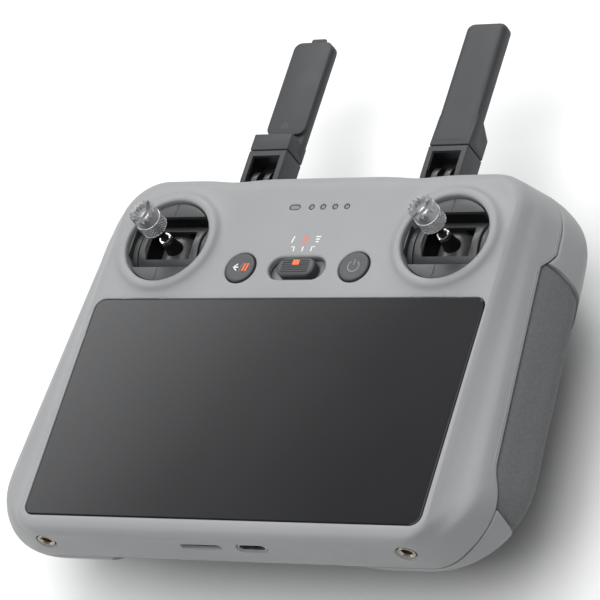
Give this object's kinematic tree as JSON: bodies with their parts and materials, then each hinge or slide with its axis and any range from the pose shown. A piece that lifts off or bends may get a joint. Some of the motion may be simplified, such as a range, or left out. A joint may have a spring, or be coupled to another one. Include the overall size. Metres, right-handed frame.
{
  "type": "radio transmitter controller",
  "caption": "Hand-held radio controller with a built-in screen, sprung thumb sticks, face and shoulder buttons, dials and folding antennas.",
  "frame": {"origin": "centre of the bounding box at its lowest face; the controller lies on its back on the two hand grips", "axes": "+Z out of the screen, +Y up the screen towards the antennas, +X to the right of the screen"},
  "size_m": [0.1684, 0.1758, 0.0614],
  "materials": {
    "shell": "fine matt moulded texture",
    "grip": "matt, fine pimpled grain",
    "glass": "polished, screen off",
    "panel": "black display stack",
    "dark": "satin moulded",
    "antenna": "fine matt",
    "aluminium": "turned and knurled",
    "chrome": "polished",
    "steel": "plain",
    "brass": "turned",
    "board": "solder mask",
    "battery": "shrink sleeve",
    "frame": "cast, matt",
    "light": "clear diffuser"
  },
  "bodies": {
    "case": {"front_shell": "shell", "rear_shell": "shell", "screen_glass": "glass", "display_gasket": "dark", "display_panel": "panel", "mid_frame": "frame", "main_board": "board", "button_board": "board", "light_guide": "light", "usb_socket": "steel", "card_socket": "steel", "case_screw_1": "steel", "case_screw_2": "steel", "case_screw_3": "steel", "case_screw_4": "steel", "grip_left": "grip", "battery_left": "battery", "thread_insert_left": "brass", "gimbal_housing_left": "dark", "dial_axle_left": "steel", "grip_right": "grip", "battery_right": "battery", "thread_insert_right": "brass", "gimbal_housing_right": "dark", "dial_axle_right": "steel"},
    "drum_left": {"stick_drum_left": "dark"},
    "stick_left": {"stick_roller_left": "dark", "stick_collar_left": "chrome", "stick_knob_left": "aluminium"},
    "drum_right": {"stick_drum_right": "dark"},
    "stick_right": {"stick_roller_right": "dark", "stick_collar_right": "chrome", "stick_knob_right": "aluminium"},
    "return_key": {"return_button": "dark"},
    "power_key": {"power_button": "dark"},
    "record_key": {"record_button": "dark"},
    "shutter_key": {"shutter_button": "dark"},
    "rear_key_left": {"rear_button_left": "dark"},
    "rear_key_right": {"rear_button_right": "dark"},
    "mode_knob": {"mode_slider": "dark"},
    "dial_wheel_left": {"dial_left": "dark"},
    "dial_wheel_right": {"dial_right": "dark"},
    "antenna_foot_left": {"antenna_base_left": "antenna"},
    "antenna_arm_left": {"antenna_pin_left": "steel", "antenna_fork_left": "antenna", "antenna_blade_left": "antenna", "antenna_cover_left": "antenna"},
    "antenna_foot_right": {"antenna_base_right": "antenna"},
    "antenna_arm_right": {"antenna_pin_right": "steel", "antenna_fork_right": "antenna", "antenna_blade_right": "antenna"}
  },
  "joints": [
    {"name": "stick_left_pitch", "type": "hinge", "parent": "case", "child": "drum_left", "pos_m": [-0.046, 0.00675, 0.0341], "axis": [1, 0, 0], "range_deg": [-22, 22], "stiffness_Nm_per_rad": 0.03},
    {"name": "stick_left_roll", "type": "hinge", "parent": "drum_left", "child": "stick_left", "pos_m": [-0.046, 0.00675, 0.0341], "axis": [0, 1, 0], "range_deg": [-22, 22], "stiffness_Nm_per_rad": 0.03},
    {"name": "stick_right_pitch", "type": "hinge", "parent": "case", "child": "drum_right", "pos_m": [0.046, 0.00675, 0.0341], "axis": [1, 0, 0], "range_deg": [-22, 22], "stiffness_Nm_per_rad": 0.03},
    {"name": "stick_right_roll", "type": "hinge", "parent": "drum_right", "child": "stick_right", "pos_m": [0.046, 0.00675, 0.0341], "axis": [0, 1, 0], "range_deg": [-22, 22], "stiffness_Nm_per_rad": 0.03},
    {"name": "return_key_press", "type": "slide", "parent": "case", "child": "return_key", "axis": [0, 0, -1], "range_m": [0, 0.0006], "stiffness_N_per_m": 800},
    {"name": "power_key_press", "type": "slide", "parent": "case", "child": "power_key", "axis": [0, 0, -1], "range_m": [0, 0.0006], "stiffness_N_per_m": 800},
    {"name": "record_key_press", "type": "slide", "parent": "case", "child": "record_key", "axis": [0, -1, 0], "range_m": [0, 0.0006], "stiffness_N_per_m": 800},
    {"name": "shutter_key_press", "type": "slide", "parent": "case", "child": "shutter_key", "axis": [0, -1, 0], "range_m": [0, 0.0006], "stiffness_N_per_m": 800},
    {"name": "rear_key_left_press", "type": "slide", "parent": "case", "child": "rear_key_left", "axis": [0, 0, 1], "range_m": [0, 0.0006], "stiffness_N_per_m": 800},
    {"name": "rear_key_right_press", "type": "slide", "parent": "case", "child": "rear_key_right", "axis": [0, 0, 1], "range_m": [0, 0.0006], "stiffness_N_per_m": 800},
    {"name": "mode_slide", "type": "slide", "parent": "case", "child": "mode_knob", "axis": [1, 0, 0], "range_m": [-0.0025, 0.0025]},
    {"name": "dial_left_turn", "type": "hinge", "parent": "case", "child": "dial_wheel_left", "pos_m": [-0.055, 0.01865, 0.0168], "axis": [1, 0, 0], "range_deg": [-30, 30], "stiffness_Nm_per_rad": 0.01},
    {"name": "dial_right_turn", "type": "hinge", "parent": "case", "child": "dial_wheel_right", "pos_m": [0.055, 0.01865, 0.0168], "axis": [1, 0, 0], "continuous": true},
    {"name": "antenna_left_swivel", "type": "hinge", "parent": "case", "child": "antenna_foot_left", "pos_m": [-0.0303, 0.02945, 0.0299], "axis": [0, -1, 0], "range_deg": [-90, 90]},
    {"name": "antenna_left_fold", "type": "hinge", "parent": "antenna_foot_left", "child": "antenna_arm_left", "pos_m": [-0.0303, 0.03545, 0.0299], "axis": [1, 0, 0], "range_deg": [0, 90]},
    {"name": "antenna_right_swivel", "type": "hinge", "parent": "case", "child": "antenna_foot_right", "pos_m": [0.0303, 0.02945, 0.0299], "axis": [0, 1, 0], "range_deg": [-90, 90]},
    {"name": "antenna_right_fold", "type": "hinge", "parent": "antenna_foot_right", "child": "antenna_arm_right", "pos_m": [0.0303, 0.03545, 0.0299], "axis": [1, 0, 0], "range_deg": [0, 90]}
  ]
}
